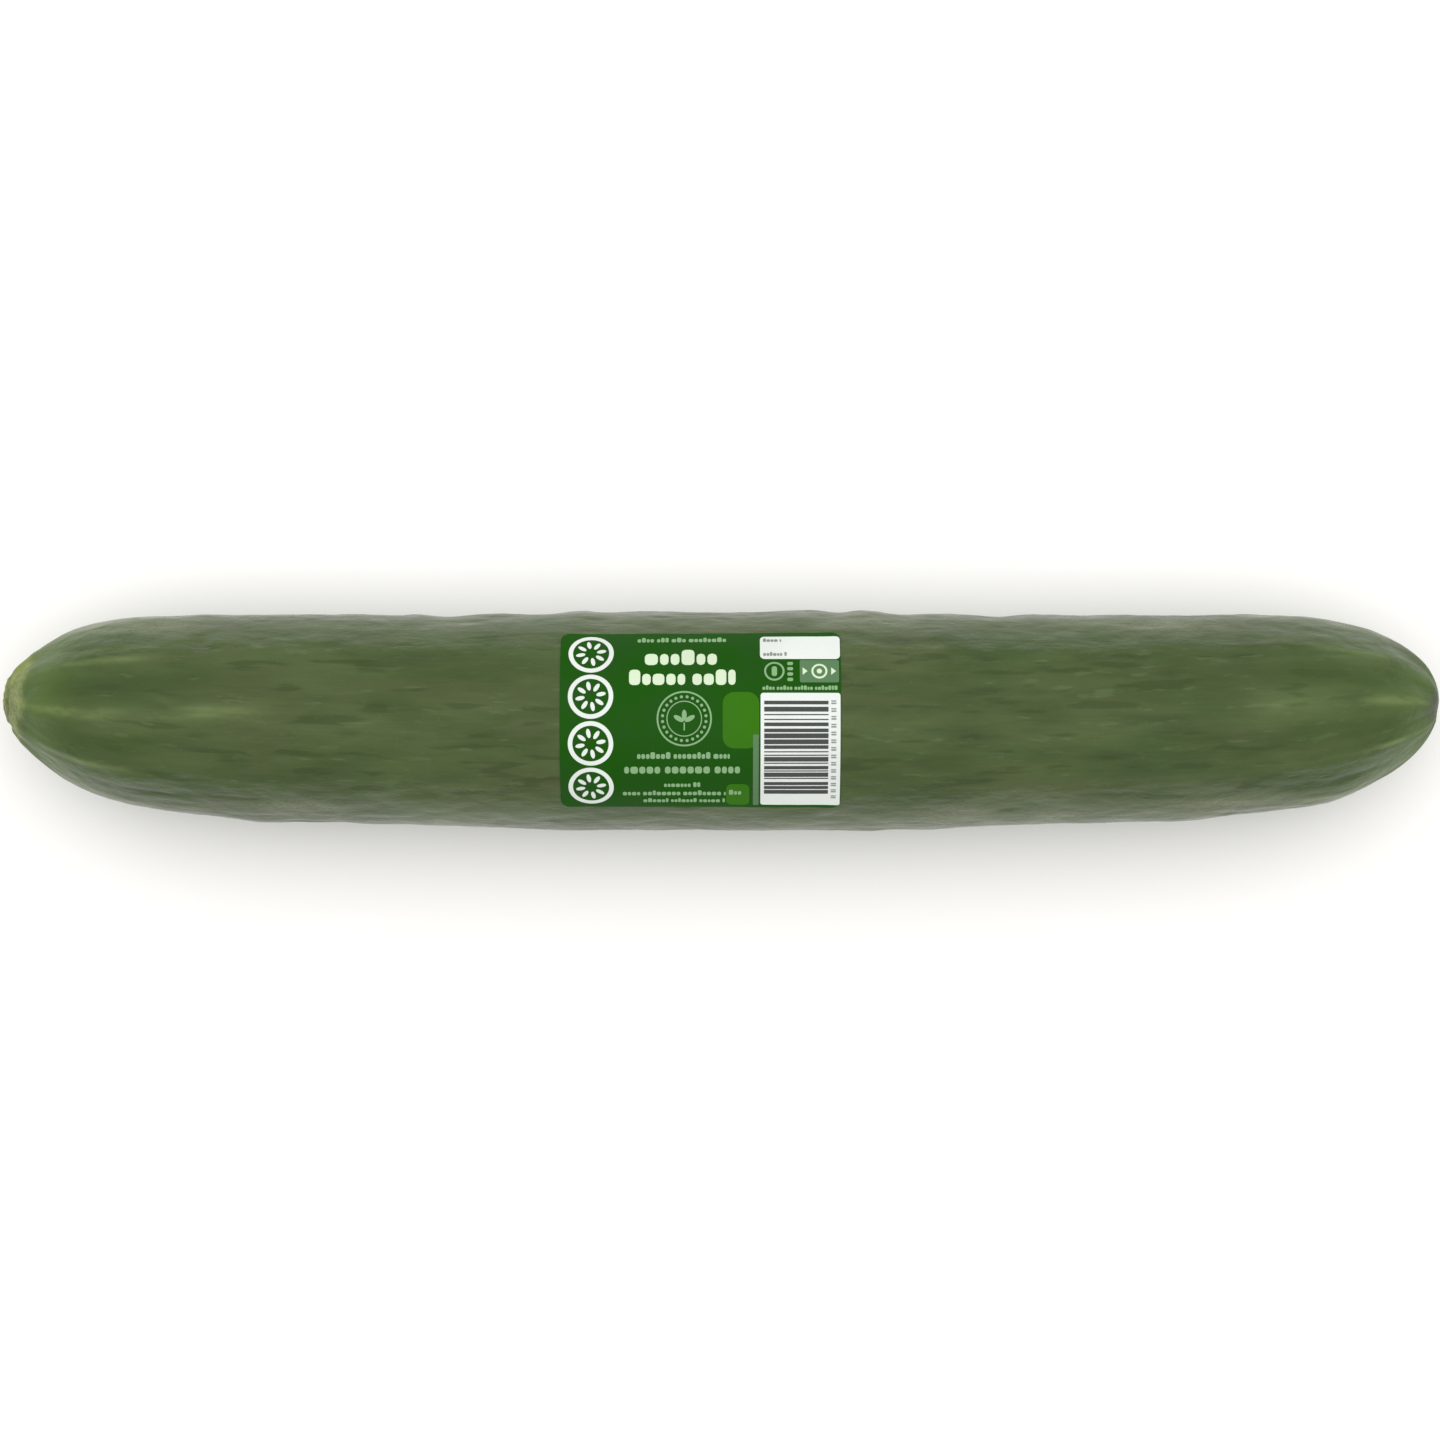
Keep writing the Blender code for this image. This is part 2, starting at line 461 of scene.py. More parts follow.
def skin_masks(x, angle, dents):
    """Where each marking is, from 0 to 1, with its values at the stem's and the blossom's tip."""
    q, turn = plan(x, angle, STEM_SCAR_CENTRE)
    edge = scar_edge(turn)
    r, _ = plan(x, angle, STEM_RING_CENTRE)
    b, _ = plan(x, angle, BLOSSOM_SCAR_CENTRE)
    patch, _ = plan(x, angle, STEM_PATCH_CENTRE)
    blossom_shade, _ = plan(x, angle, BLOSSOM_SHADE_CENTRE)
    stem_half, blossom_half = (x < 0) * 1.0, (x > 0) * 1.0
    wave = 0.35 * waves(0 * x, angle, 50.0, (2, 9), seed=31)
    collar = 1 - smooth(r + wave, STEM_RING_RADIUS - 2.0, STEM_RING_RADIUS + 2.3)
    glow = bell(b - 8.0, 5.0) * blossom_half + bell(r - 14.5, 3.5) * stem_half
    return {
        "vein": (vein_mask(x, angle), 0, 0),
        "band": (np.cos(RIBS * rib_angle(x, angle)), 0, 0),
        "furrow": (dents, 0, 0),
        "end": (smooth(np.abs(x), 112.0, 160.0), 1, 1),
        "pad": ((1 - smooth(q, edge - 0.4, edge + 0.5)) * stem_half, 1, 0),
        "groove": (bell(q - edge - 0.8, 0.8) * stem_half, 0, 0),
        "collar": (collar * stem_half, 1, 0),
        "ring": (bell(r + wave - STEM_RING_RADIUS + 0.6, 1.1) * stem_half, 0, 0),
        "patch": (bell(patch, STEM_PATCH_REACH) * stem_half, 0, 0),
        # pale places, partly waxy bloom and partly painted reflection haze
        "bloom_and_sheen": (bloom_and_sheen_mask(x, angle), 0, 0),
        "blossom": ((1 - smooth(b, 1.4, 2.8)) * blossom_half, 0, 0),
        # painted shade above the blossom's scar
        "blossom_shade": (bell(blossom_shade, BLOSSOM_SHADE_REACH) * blossom_half, 0, 0),
        "glow": (glow, 0, 0),
        "tip": (1 - smooth(np.interp(x, PROFILE_X, PROFILE_R), 9.0, 19.0), 1, 1),
    }


def make_fruit():
    places = stations()
    rings = len(places)
    x = np.interp(places, PROFILE_S, PROFILE_X)[:, None]
    # Angles start underneath, where the map has its seam
    angle = (math.pi + 2 * math.pi * np.arange(AROUND) / AROUND)[None, :]
    dents = furrows(x, angle) * (1 - under_label(x, angle))
    points = on_skin(x, angle, skin_height(x, angle, places, dents))
    points[..., 2] = np.maximum(points[..., 2], 0.0)
    tips = [points[ring].mean(axis=0) for ring in (0, -1)]

    mesh = bpy.data.meshes.new("cucumber_skin")
    mesh.from_pydata(with_tips(points, *tips) * MM, [], skin_faces(rings))
    skin_map(mesh, rings, places)
    half = PROFILE_S[-1] / 2
    set_attribute(mesh, "flow", with_tips(skin_flow(x, angle, places), [-half, 0, 0], [half, 0, 0]))
    for name, (values, stem, blossom) in skin_masks(x, angle, dents).items():
        values = np.broadcast_to(values, points.shape[:2])
        set_attribute(mesh, name, with_tips(values, float(stem), float(blossom)))
    mesh.materials.append(skin_material())
    mesh.shade_smooth()
    piece = bpy.data.objects.new("cucumber_skin", mesh)
    bpy.context.scene.collection.objects.link(piece)
    return piece


# ================================================================== materials
class Graph:
    """One material's nodes. An input takes another node's socket or a plain value."""

    def __init__(self, name):
        self.material = bpy.data.materials.new(name)
        self.material.use_nodes = True
        self.tree = self.material.node_tree
        self.shader = self.tree.nodes["Principled BSDF"]

    def put(self, socket, value):
        if isinstance(value, bpy.types.NodeSocket):
            self.tree.links.new(value, socket)
        elif isinstance(value, tuple) and socket.type == "RGBA":
            socket.default_value = (*value, 1.0)
        else:
            socket.default_value = value

    def set(self, **values):
        for name, value in values.items():
            self.put(self.shader.inputs[name.replace("_", " ")], value)

    def attribute(self, name, output="Fac"):
        made = self.tree.nodes.new("ShaderNodeAttribute")
        made.attribute_name = name
        return made.outputs[output]

    def position(self):
        return self.tree.nodes.new("ShaderNodeTexCoord").outputs["Object"]

    def stretched(self, vector, scale, offset=(0.0, 0.0, 0.0)):
        made = self.tree.nodes.new("ShaderNodeMapping")
        self.put(made.inputs["Vector"], vector)
        made.inputs["Scale"].default_value = scale
        made.inputs["Location"].default_value = offset
        return made.outputs["Vector"]

    def noise(self, vector, scale, detail=3.0, roughness=0.55):
        made = self.tree.nodes.new("ShaderNodeTexNoise")
        self.put(made.inputs["Vector"], vector)
        made.inputs["Scale"].default_value = scale
        made.inputs["Detail"].default_value = detail
        made.inputs["Roughness"].default_value = roughness
        return made.outputs["Fac"]

    def cells(self, vector, scale):
        """Distance from the nearest of scattered points."""
        made = self.tree.nodes.new("ShaderNodeTexVoronoi")
        self.put(made.inputs["Vector"], vector)
        made.inputs["Scale"].default_value = scale
        return made.outputs["Distance"]

    def span(self, value, low, high, to_low=0.0, to_high=1.0):
        made = self.tree.nodes.new("ShaderNodeMapRange")
        made.interpolation_type = "SMOOTHSTEP"
        for name, given in zip(
            ("Value", "From Min", "From Max", "To Min", "To Max"), (value, low, high, to_low, to_high)
        ):
            self.put(made.inputs[name], given)
        return made.outputs["Result"]

    def math(self, operation, a, b):
        made = self.tree.nodes.new("ShaderNodeMath")
        made.operation = operation
        self.put(made.inputs[0], a)
        self.put(made.inputs[1], b)
        return made.outputs[0]

    def times(self, a, b):
        return self.math("MULTIPLY", a, b)

    def mix(self, share, a, b):
        made = self.tree.nodes.new("ShaderNodeMix")
        made.data_type = "RGBA"
        self.put(made.inputs[0], share)
        self.put(made.inputs[6], a)
        self.put(made.inputs[7], b)
        return made.outputs[2]

    def bump(self, height, depth, normal=None):
        """Relief depth metres deep."""
        made = self.tree.nodes.new("ShaderNodeBump")
        made.inputs["Strength"].default_value = 1.0
        made.inputs["Distance"].default_value = depth
        self.put(made.inputs["Height"], height)
        if normal is not None:
            self.put(made.inputs["Normal"], normal)
        return made.outputs["Normal"]


# The skin's patterns: stretch along and round it, offset, scale in 1/mm, detail and roughness
SKIN_NOISE = {
    "cloud": ((0.30, 1.0, 1.0), (0.0, 0.0, 0.0), 0.085, 3.0, 0.50),
    "tint": ((0.40, 1.0, 1.0), (15.0, 60.0, 21.0), 0.10, 2.0, 0.50),
    "thread": ((0.07, 1.0, 1.0), (3.0, 17.0, 5.0), 1.5, 2.0, 0.50),
    "streak": ((0.20, 1.0, 1.0), (0.0, 0.0, 0.0), 0.30, 3.0, 0.50),
    "dash": ((0.17, 1.0, 1.0), (40.0, 7.0, 3.0), 0.36, 2.0, 0.50),
    "light_dash": ((0.20, 1.0, 1.0), (90.0, 31.0, 13.0), 0.62, 2.0, 0.50),
    "lump": ((0.50, 1.0, 1.0), (7.0, 19.0, 44.0), 0.24, 3.0, 0.55),
    "grain": ((0.45, 1.0, 1.0), (0.0, 0.0, 0.0), 2.3, 3.0, 0.60),
    "patches": ((1.0, 1.0, 1.0), (5.0, 9.0, 2.0), 0.34, 4.0, 0.60),
    "pith": ((1.0, 1.0, 1.0), (0.0, 0.0, 0.0), 1.1, 4.0, 0.65),
    "pores": ((1.0, 1.0, 1.0), (0.0, 0.0, 0.0), 3.4, 3.0, 0.60),
}

DEEP_GREEN, MID_GREEN = (0.0425, 0.069, 0.0155), (0.0635, 0.0935, 0.0265)
OLIVE, COOL_GREEN, FRESH_GREEN = (0.068, 0.082, 0.0280), (0.043, 0.088, 0.0240), (0.053, 0.103, 0.018)
STREAK_GREEN, THREAD_GREEN = (0.078, 0.116, 0.033), (0.100, 0.145, 0.055)
# The green between the ribs is painted shade
VALLEY_SHADE, DASH_GREEN, GLOW_GREEN = (0.030, 0.055, 0.009), (0.024, 0.045, 0.007), (0.080, 0.145, 0.018)
# The furrows' green is painted shade
LIGHT_DASH, FURROW_SHADE = (0.105, 0.150, 0.062), (0.022, 0.041, 0.007)
# The last of these, for the pale places, is partly waxy bloom and partly painted reflection haze
GRAIN_GREEN, FLECK, BLOOM_AND_SHEEN = (0.020, 0.037, 0.006), (0.130, 0.165, 0.070), (0.200, 0.215, 0.128)
VEIN, STEM_RING = (0.160, 0.214, 0.072), (0.220, 0.258, 0.085)
COLLAR_DARK, COLLAR_LIGHT = (0.125, 0.180, 0.026), (0.205, 0.228, 0.080)
COLLAR_PALE_SPECK, COLLAR_DARK_SPECK = (0.340, 0.360, 0.210), (0.055, 0.085, 0.016)
PAD_DARK, PAD_LIGHT = (0.185, 0.212, 0.045), (0.280, 0.300, 0.120)
PAD_PALE_SPECK, PAD_DARK_SPECK = (0.430, 0.440, 0.230), (0.072, 0.090, 0.018)
GROOVE_SHADE, YELLOW_PATCH = (0.062, 0.088, 0.018), (0.175, 0.240, 0.008)
# The first of these is painted shade above the blossom's scar
BLOSSOM_SHADE, BLOSSOM_SCAR = (0.022, 0.030, 0.011), (0.052, 0.054, 0.036)


def body_colour(g, noise, flow):
    """Mottled dark green with dashes, painted shade between the ribs and in the furrows, and pale places
    that are part waxy bloom, part painted reflection haze.
    """
    cloud, tint, grain = noise["cloud"], noise["tint"], noise["grain"]
    flecks = g.cells(g.stretched(flow, (0.55, 1.0, 1.0)), 0.62)
    colour = g.mix(g.span(cloud, 0.38, 0.62), DEEP_GREEN, MID_GREEN)
    colour = g.mix(g.span(tint, 0.52, 0.68, 0.0, 0.50), colour, OLIVE)
    colour = g.mix(g.span(tint, 0.32, 0.46, 0.35, 0.0), colour, COOL_GREEN)
    colour = g.mix(g.span(noise["streak"], 0.42, 0.66, 0.0, 0.30), colour, STREAK_GREEN)
    colour = g.mix(g.span(noise["thread"], 0.50, 0.70, 0.0, 0.08), colour, THREAD_GREEN)
    # Painted shade in the grooves between the ribs, stronger towards the ends
    valley_shade = g.span(g.attribute("band"), -1.0, 0.1, 1.0, 0.0)
    valley_shade = g.times(valley_shade, g.span(g.attribute("end"), 0.0, 0.5, 0.18, 0.74))
    colour = g.mix(valley_shade, colour, VALLEY_SHADE)
    colour = g.mix(g.span(noise["dash"], 0.58, 0.67, 0.0, 0.50), colour, DASH_GREEN)
    colour = g.mix(g.span(noise["light_dash"], 0.62, 0.71, 0.0, 0.32), colour, LIGHT_DASH)
    # Painted shade in the furrows
    colour = g.mix(g.times(g.attribute("furrow"), 0.42), colour, FURROW_SHADE)
    colour = g.mix(g.span(grain, 0.30, 0.75, 0.08, 0.0), colour, GRAIN_GREEN)
    colour = g.mix(g.span(flecks, 0.05, 0.14, 0.14, 0.0), colour, FLECK)
    # Pale places, partly waxy bloom and partly painted reflection haze on the sides
    bloom_and_sheen_share = g.times(g.attribute("bloom_and_sheen"), g.span(grain, 0.35, 0.60, 0.25, 0.85))
    return g.mix(g.times(bloom_and_sheen_share, 0.60), colour, BLOOM_AND_SHEEN)


def end_colour(g, noise, colour):
    """Fresher green and pale broken veins towards both ends."""
    fresh = g.times(g.attribute("end"), g.span(noise["cloud"], 0.30, 0.70, 0.15, 0.60))
    colour = g.mix(fresh, colour, FRESH_GREEN)
    broken_vein = g.times(g.attribute("vein"), g.span(noise["streak"], 0.34, 0.58, 0.35, 1.0))
    colour = g.mix(g.times(broken_vein, 0.92), colour, VEIN)
    return g.mix(g.times(g.attribute("glow"), 0.45), colour, GLOW_GREEN)


def scar_colour(g, noise, colour):
    """The stem's speckled collar and pad with painted shade in its groove, and the blossom's dark scar
    with painted shade above it.
    """
    patches, pith = noise["patches"], noise["pith"]
    collar_colour = g.mix(g.span(patches, 0.42, 0.58), COLLAR_DARK, COLLAR_LIGHT)
    collar_colour = g.mix(g.span(pith, 0.36, 0.48, 0.65, 0.0), collar_colour, COLLAR_PALE_SPECK)
    collar_colour = g.mix(g.span(pith, 0.52, 0.64, 0.0, 0.70), collar_colour, COLLAR_DARK_SPECK)
    worn = g.math("ADD", g.attribute("collar"), g.times(g.math("SUBTRACT", patches, 0.5), 0.6))
    colour = g.mix(g.span(worn, 0.10, 0.90, 0.0, 0.85), colour, collar_colour)
    ring_share = g.times(g.attribute("ring"), g.span(patches, 0.35, 0.60, 0.25, 0.60))
    colour = g.mix(ring_share, colour, STEM_RING)
    pad_colour = g.mix(g.span(patches, 0.40, 0.60), PAD_DARK, PAD_LIGHT)
    pad_colour = g.mix(g.span(pith, 0.52, 0.64, 0.0, 0.80), pad_colour, PAD_DARK_SPECK)
    pad_colour = g.mix(g.span(pith, 0.36, 0.47, 0.7, 0.0), pad_colour, PAD_PALE_SPECK)
    colour = g.mix(g.attribute("pad"), colour, pad_colour)
    for mask, share, mark in (
        ("groove", 0.60, GROOVE_SHADE),
        ("patch", 0.80, YELLOW_PATCH),
        # painted shade above the blossom's scar
        ("blossom_shade", 0.90, BLOSSOM_SHADE),
        ("blossom", 0.80, BLOSSOM_SCAR),
    ):
        colour = g.mix(g.times(g.attribute(mask), share), colour, mark)
    return colour


def skin_roughness(g, noise, dry):
    """Waxy, with duller furrows and tips, and dullest on the scars."""
    dull = g.math("MAXIMUM", dry, g.times(g.attribute("tip"), 0.70))
    rough = g.span(noise["lump"], 0.35, 0.65, 0.27, 0.36)
    rough = g.math("ADD", rough, g.times(g.attribute("furrow"), 0.10))
    return g.math("ADD", rough, g.times(dull, 0.34))


def skin_normal(g, noise, dry):
    """Relief too fine for the mesh, each kind with its depth in metres."""
    normal = g.bump(noise["lump"], 0.00045)
    normal = g.bump(noise["streak"], 0.00010, normal)
    normal = g.bump(g.times(noise["dash"], -1.0), 0.00018, normal)
    normal = g.bump(noise["grain"], 0.00004, normal)
    normal = g.bump(noise["pores"], 0.00002, normal)
    return g.bump(g.times(noise["pith"], dry), 0.0005, normal)


def skin_material():
    """Waxy dark green skin with lengthwise dashes, pale veins at the ends and two scars."""
    g = Graph("cucumber_skin")
    flow = g.attribute("flow", "Vector")
    noise = {
        name: g.noise(g.stretched(flow, stretch, offset), scale, detail, roughness)
        for name, (stretch, offset, scale, detail, roughness) in SKIN_NOISE.items()
    }
    dry = g.math("MAXIMUM", g.attribute("pad"), g.attribute("blossom"))
    colour = scar_colour(g, noise, end_colour(g, noise, body_colour(g, noise, flow)))
    g.set(Base_Color=colour, Roughness=skin_roughness(g, noise, dry))
    g.set(Normal=skin_normal(g, noise, dry), IOR=1.50)
    g.set(Specular_IOR_Level=0.50, Sheen_Weight=0.04, Sheen_Roughness=0.30)
    return g.material


def print_material(name, colour, variation=0.06):
    """Printed film: its colour varies a little, and it is faintly dimpled."""
    g = Graph(name)
    where = g.position()
    cloud = g.noise(where, 90.0, 3.0, 0.5)
    speck = g.noise(where, 2600.0, 2.0, 0.5)
    worn = tuple(min(channel * (1 - variation) + 0.004, 1.0) for channel in colour)
    g.set(Base_Color=g.mix(g.span(cloud, 0.35, 0.65), colour, worn))
    g.set(Roughness=g.span(speck, 0.3, 0.7, 0.38, 0.46))
    normal = g.bump(g.noise(where, 260.0, 3.0, 0.5), 0.00012)
    g.set(Normal=g.bump(speck, 0.000012, normal), IOR=1.45, Specular_IOR_Level=0.10)
    return g.material


# ================================================================== the sticker and its print
def label_height(u, v):
    """How far the sticker's underside stands over the fruit's form, with its slight crinkles."""
    x, angle = LABEL_X + u, v / MIDDLE_RADIUS
    crinkle = CRINKLE * np.sin(0.62 * u + 0.35 * v + 1.5 * np.sin(0.21 * v)) * np.cos(0.33 * v - 0.11 * u)
    past_u = np.abs(u) / (LABEL_LENGTH / 2)
    past_v = np.abs(v) / (LABEL_ARC / 2)
    corners = CORNER_LIFT * smooth(past_u + past_v, 1.80, 2.0)
    edges = EDGE_LIFT * np.maximum(smooth(past_u, 0.96, 1.0), smooth(past_v, 0.94, 1.0))
    return broad_relief(x, angle) + LABEL_LIFT + np.abs(crinkle) + corners + edges


class Shapes:
    """Flat shapes on the unrolled sticker, u along the fruit and v round it, from its middle."""

    def __init__(self):
        self.outlines = []

    def polygon(self, points):
        self.outlines.append(list(points))

    def block(self, u0, v0, u1, v1, corner=0.0, steps=3):
        """A rectangle with rounded corners."""
        corner = min(corner, (u1 - u0) / 2.001, (v1 - v0) / 2.001)
        if corner <= 0:
            self.polygon([(u0, v0), (u1, v0), (u1, v1), (u0, v1)])
            return
        centres = ((u1, v0, 1, -1, -90), (u1, v1, 1, 1, 0), (u0, v1, -1, 1, 90), (u0, v0, -1, -1, 180))
        points = []
        for u, v, sign_u, sign_v, start in centres:
            for step in range(steps + 1):
                turn = math.radians(start + 90 * step / steps)
                points.append(
                    (
                        u - sign_u * corner + corner * math.cos(turn),
                        v - sign_v * corner + corner * math.sin(turn),
                    )
                )
        self.polygon(points)

    def disc(self, u, v, half_long, half_wide=None, turn=0.0, sides=20):
        half_wide = half_wide or half_long
        points = []
        for side in range(sides):
            t = 2 * math.pi * side / sides
            a, b = half_long * math.cos(t), half_wide * math.sin(t)
            points.append(
                (u + a * math.cos(turn) - b * math.sin(turn), v + a * math.sin(turn) + b * math.cos(turn))
            )
        self.polygon(points)

    def ring(self, u, v, outer, inner, sides=48):
        for side in range(sides):
            t0, t1 = (2 * math.pi * (side + step) / sides for step in (0, 1))
            self.polygon(
                (u + radius * math.cos(t), v + radius * math.sin(t))
                for radius, t in ((inner, t0), (outer, t0), (outer, t1), (inner, t1))
            )


def flat_mesh(shapes):
    """The shapes as joined flat faces, cut along the sticker's bending lines."""
    bm = bmesh.new()
    for outline in shapes.outlines:
        bm.faces.new([bm.verts.new((u, v, 0.0)) for u, v in outline])
    bmesh.ops.remove_doubles(bm, verts=bm.verts, dist=1e-4)
    for axis, step, half in ((0, CUT_ALONG, LABEL_LENGTH / 2), (1, CUT_ROUND, LABEL_ARC / 2)):
        direction = [0.0, 0.0, 0.0]
        direction[axis] = 1.0
        for line in range(-int(half / step), int(half / step) + 1):
            at = [0.0, 0.0, 0.0]
            at[axis] = line * step
            everything = bm.verts[:] + bm.edges[:] + bm.faces[:]
            bmesh.ops.bisect_plane(bm, geom=everything, dist=1e-5, plane_co=at, plane_no=direction)
    return bm


def wrapped(name, shapes, lift, thickness, material):
    """The shapes as one thin closed layer over the sticker's underside."""
    bm = flat_mesh(shapes)
    bm.verts.index_update()
    bm.verts.ensure_lookup_table()
    flat = np.array([vert.co[:2] for vert in bm.verts])
    u, v = flat[:, 0], flat[:, 1]
    count = len(flat)
    layers = [
        on_skin(LABEL_X + u, v / MIDDLE_RADIUS, label_height(u, v) + level)
        for level in (lift, lift + thickness)
    ]
    faces = []
    for face in bm.faces:
        loop = [vert.index for vert in face.verts]
        if face.normal.z < 0:
            loop.reverse()
        faces.append([count + index for index in loop])
        faces.append(loop[::-1])
        for a, b in zip(loop, loop[1:] + loop[:1]):
            if len(bm.edges.get((bm.verts[a], bm.verts[b])).link_faces) == 1:
                faces.append([a, b, count + b, count + a])
    bm.free()
    mesh = bpy.data.meshes.new(name)
    mesh.from_pydata(np.concatenate(layers) * MM, [], faces)
    mesh.materials.append(material)
    mesh.shade_smooth()
    mesh.set_sharp_from_angle(angle=math.radians(40))
    piece = bpy.data.objects.new(name, mesh)
    bpy.context.scene.collection.objects.link(piece)
    return piece


def words(shapes, rng, u0, u1, base, height, gap=0.16, word=(3, 8), ascender=0.25):
    """Rounded blocks that stand for a line of print on its base line, with gaps between words."""
    u, left = u0, rng.randint(*word)
    while u < u1 - 0.35 * height:
        end = min(u + height * rng.uniform(0.62, 1.0), u1)
        tall = height * (1.38 if rng.random() < ascender else 1.0)
        shapes.block(u, base, end, base + tall, 0.30 * height, steps=2)
        left -= 1
        u = end + height * (gap if left > 0 else 0.60)
        left = left if left > 0 else rng.randint(*word)


def slice_mark(shapes, u, v, radius):
    """A round slice: its rind and a ring of seeds."""
    shapes.ring(u, v, radius, radius * 0.80)
    for seed in range(SLICE_SEEDS):
        turn = 2 * math.pi * (seed + 0.25) / SLICE_SEEDS
        at_u, at_v = u + 0.47 * radius * math.cos(turn), v + 0.47 * radius * math.sin(turn)
        shapes.disc(at_u, at_v, 0.21 * radius, 0.095 * radius, turn, sides=14)


def white_print():
    """Four slices down the left, and the two panels that reach the right edge."""
    shapes = Shapes()
    for row in range(4):
        slice_mark(shapes, -24.6, 10.7 * (row - 1.5), 5.1)
    edge = LABEL_LENGTH / 2 - 0.12
    shapes.block(13.4, 14.3, edge, 20.9, 1.0)
    shapes.block(13.5, -21.3, edge, 6.1, 0.6)
    return shapes


def pale_print():
    """The two bold lines of the title."""
    shapes, rng = Shapes(), random.Random(7)
    words(shapes, rng, -12.5, 4.6, 12.8, 3.0, word=(9, 9))
    words(shapes, rng, -16.0, 7.9, 7.9, 2.7, word=(5, 5))
    return shapes


def badge(shapes, u, v):
    """A ring of dots between two fine rings, with a sprig of three leaves in the middle."""
    shapes.ring(u, v, 6.2, 5.8)
    shapes.ring(u, v, 4.0, 3.75)
    for dot in range(BADGE_DOTS):
        turn = 2 * math.pi * (dot + 0.5) / BADGE_DOTS
        shapes.disc(u + 4.9 * math.cos(turn), v + 4.9 * math.sin(turn), 0.36, sides=10)
    for turn in (math.radians(30), math.radians(90), math.radians(150)):
        at_u, at_v = u + 1.45 * math.cos(turn), v - 0.7 + 1.45 * math.sin(turn)
        shapes.disc(at_u, at_v, 1.25, 0.55, turn, sides=16)
    shapes.block(u - 0.16, v - 2.6, u + 0.16, v - 0.85)


def soft_print():
    """Small lines, the badge and the first symbol, in a duller ink."""
    shapes, rng = Shapes(), random.Random(4)
    words(shapes, rng, -14.2, 6.3, 19.2, 1.1)
    words(shapes, rng, -14.2, 6.6, -8.8, 1.15)
    words(shapes, rng, -17.1, 9.2, -12.4, 1.75, ascender=0.0)
    words(shapes, rng, -8.2, 0.4, -16.0, 0.95)
    words(shapes, rng, -17.5, 5.7, -18.4, 1.05)
    words(shapes, rng, 6.4, 9.7, -18.2, 1.05)
    words(shapes, rng, -12.9, 5.5, -20.6, 0.95)
    words(shapes, rng, 13.9, 31.0, 6.75, 0.75)

    badge(shapes, -3.6, 0.3)
    shapes.ring(16.6, 11.2, 2.3, 1.85, sides=32)
    shapes.block(16.0, 10.0, 17.2, 12.4, 0.5)
    for row in range(4):
        shapes.block(19.5, 8.8 + 1.3 * row, 20.8, 9.6 + 1.3 * row, 0.3)
    return shapes


def mid_print():
    """The ground of the second symbol and the thin strip beside the lower panel."""
    shapes = Shapes()
    shapes.block(22.3, 8.5, 31.1, 14.0, 0.4)
    shapes.block(11.8, -21.4, 13.1, -3.2, 0.3)
    return shapes


def fresh_print():
    """The lighter green patches."""
    shapes = Shapes()
    shapes.block(5.0, -6.4, 13.2, 6.3, 2.6, steps=5)
    shapes.block(5.8, -21.4, 11.0, -15.2, 1.2)
    return shapes


def dark_print():
    """Stripes of random widths on the lower panel, which encode nothing."""
    shapes, rng = Shapes(), random.Random(12)
    v, module, stripe = 4.3, 0.27, True
    while v > -18.3:
        width = module * (rng.choice((1, 1, 2, 3, 4)) if stripe else rng.choice((1, 1, 2, 3)))
        if stripe:
            shapes.block(14.3, v - width, 28.7, v)
        v -= width
        stripe = not stripe
    return shapes


def grey_print():
    """Small marks beside the stripes and on the upper panel."""
    shapes, rng = Shapes(), random.Random(3)
    v = 4.4
    while v > -19.5:
        shapes.block(29.3, v - 0.85, 30.5, v - 0.50, 0.15, steps=2)
        shapes.block(29.3, v - 0.30, 30.5, v, 0.12, steps=2)
        v -= 1.75
    words(shapes, rng, 14.1, 18.2, 19.2, 0.8)
    words(shapes, rng, 14.1, 19.4, 15.1, 0.8)
    return shapes


def symbol_print():
    """What stands on the second symbol's ground."""
    shapes = Shapes()
    shapes.ring(26.7, 11.2, 1.8, 1.35, sides=28)
    shapes.disc(26.7, 11.2, 0.6, sides=14)
    for side in (-1, 1):
        shapes.polygon(
            (26.7 + side * 3.2 + 0.55 * a, 11.2 + 0.9 * b) for a, b in ((-1, -1), (1, 0), (-1, 1))
        )
    return shapes


# The sticker's colours: its ground is the film's own
WHITE, PALE, SOFT = (0.70, 0.745, 0.705), (0.60, 0.72, 0.52), (0.22, 0.38, 0.19)
MID, FRESH, GROUND = (0.095, 0.190, 0.088), (0.032, 0.150, 0.004), (0.009, 0.074, 0.002)
DARK, GREY = (0.062, 0.066, 0.064), (0.250, 0.265, 0.255)


def make_sticker():
    """The sticker's film, then its print in two layers."""
    film = Shapes()
    half_u, half_v = LABEL_LENGTH / 2, LABEL_ARC / 2
    film.block(-half_u, -half_v, half_u, half_v, LABEL_CORNER, steps=6)
    first = LABEL_THICKNESS + INK_GAP
    second = first + INK_THICKNESS + INK_GAP
    third = second + INK_THICKNESS + INK_GAP
    pieces = [wrapped("sticker", film, 0.0, LABEL_THICKNESS, print_material("sticker", GROUND, 0.10))]
    for name, shapes, colour, lift in (
        ("print_fresh", fresh_print(), FRESH, first),
        ("print_white", white_print(), WHITE, first),
        ("print_pale", pale_print(), PALE, first),
        ("print_mid", mid_print(), MID, second),
        ("print_soft", soft_print(), SOFT, second),
        ("print_dark", dark_print(), DARK, second),
        ("print_grey", grey_print(), GREY, second),
        ("print_symbol", symbol_print(), PALE, third),
    ):
        pieces.append(wrapped(name, shapes, lift, INK_THICKNESS, print_material(name, colour)))
    return pieces


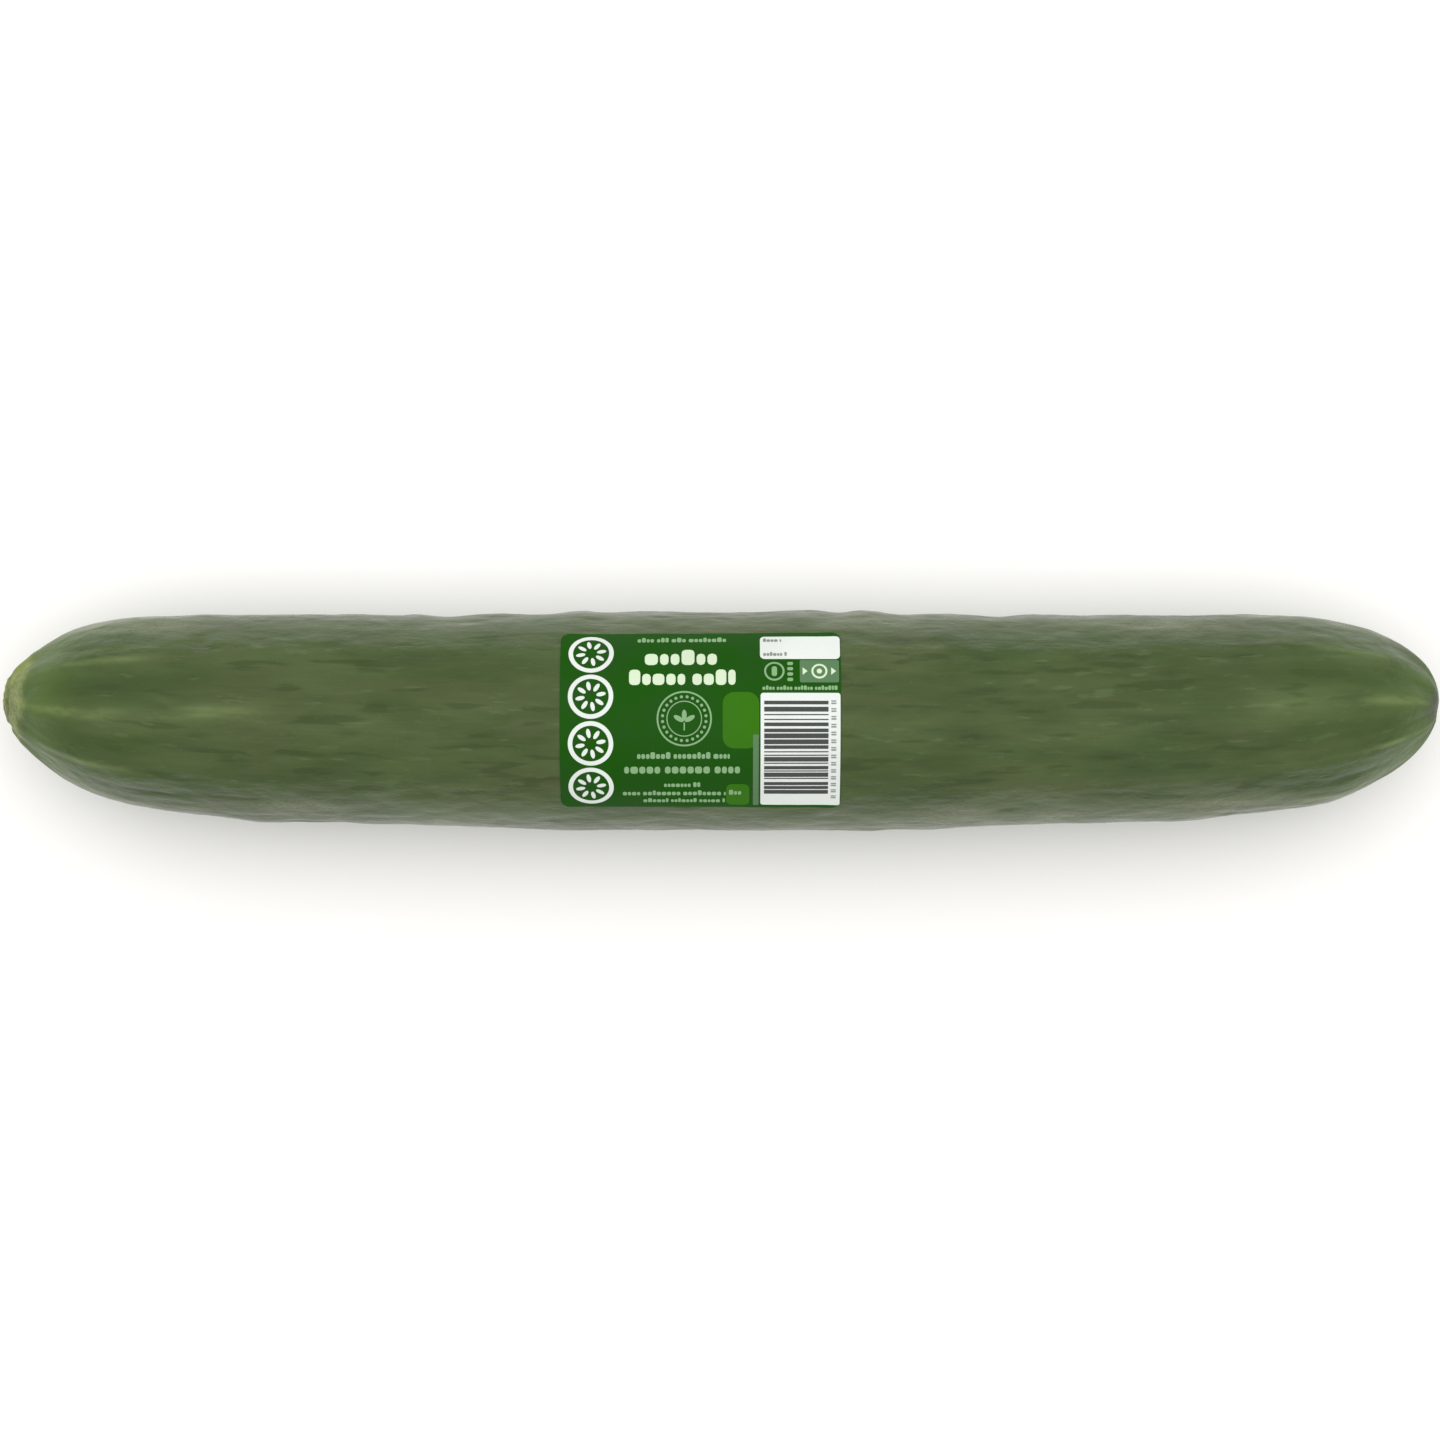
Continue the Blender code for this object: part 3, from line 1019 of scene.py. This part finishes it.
# ================================================================== stage
FLOOR_SIZE = 12.0
FLOOR_COLOURS = (0.925, 0.917, 0.903), (0.935, 0.927, 0.913)
ROOM_COLOUR, ROOM_STRENGTH = (1.0, 0.988, 0.968, 1.0), 0.50
SCRIM_PLACE, SCRIM_SIZE, SCRIM_POWER = (0.0, 0.75, 2.4), (5.0, 4.0), 100.0
LENS, SENSOR = 100.0, 36.0
MARGIN = 1.0042  # the view's width over the fruit's length


def make_floor():
    bpy.ops.mesh.primitive_plane_add(size=FLOOR_SIZE)
    floor = bpy.context.object
    floor.name = "floor"
    g = Graph("floor")
    cloud = g.noise(g.position(), 3.0, 2.0)
    g.set(Base_Color=g.mix(cloud, *FLOOR_COLOURS), Roughness=0.9)
    g.set(Specular_IOR_Level=0.1)
    floor.data.materials.append(g.material)


def make_light():
    """An even pale room and a wide scrim overhead, which the glossy skin doesn't mirror."""
    world = bpy.data.worlds.new("studio")
    world.use_nodes = True
    bpy.context.scene.world = world
    room = world.node_tree.nodes["Background"]
    room.inputs["Color"].default_value = ROOM_COLOUR
    room.inputs["Strength"].default_value = ROOM_STRENGTH
    light = bpy.data.lights.new("scrim", "AREA")
    light.shape = "RECTANGLE"
    light.size, light.size_y = SCRIM_SIZE
    light.energy = SCRIM_POWER
    scrim = bpy.data.objects.new("scrim", light)
    scrim.location = SCRIM_PLACE
    scrim.visible_glossy = False
    bpy.context.scene.collection.objects.link(scrim)


def make_camera():
    """Straight above the middle of the fruit, with +Y at the top of the view."""
    camera = bpy.data.cameras.new("camera")
    camera.lens, camera.sensor_width = LENS, SENSOR
    distance = LENS / SENSOR * 2 * HALF_LENGTH * MM * MARGIN
    holder = bpy.data.objects.new("camera", camera)
    low, high = cad_box
    holder.location = ((low.x + high.x) / 2, (low.y + high.y) / 2, AXIS_HEIGHT * MM + distance)
    bpy.context.scene.collection.objects.link(holder)
    bpy.context.scene.camera = holder


def main():
    bpy.context.scene.view_settings.view_transform = "Standard"
    make_camera()
    make_light()
    make_floor()
    fruit = make_fruit()
    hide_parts("cucumber")
    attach(fruit, "root")
    sticker, *prints = make_sticker()
    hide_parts("label")
    for piece in (sticker, *prints):
        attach(piece, "root")


main()
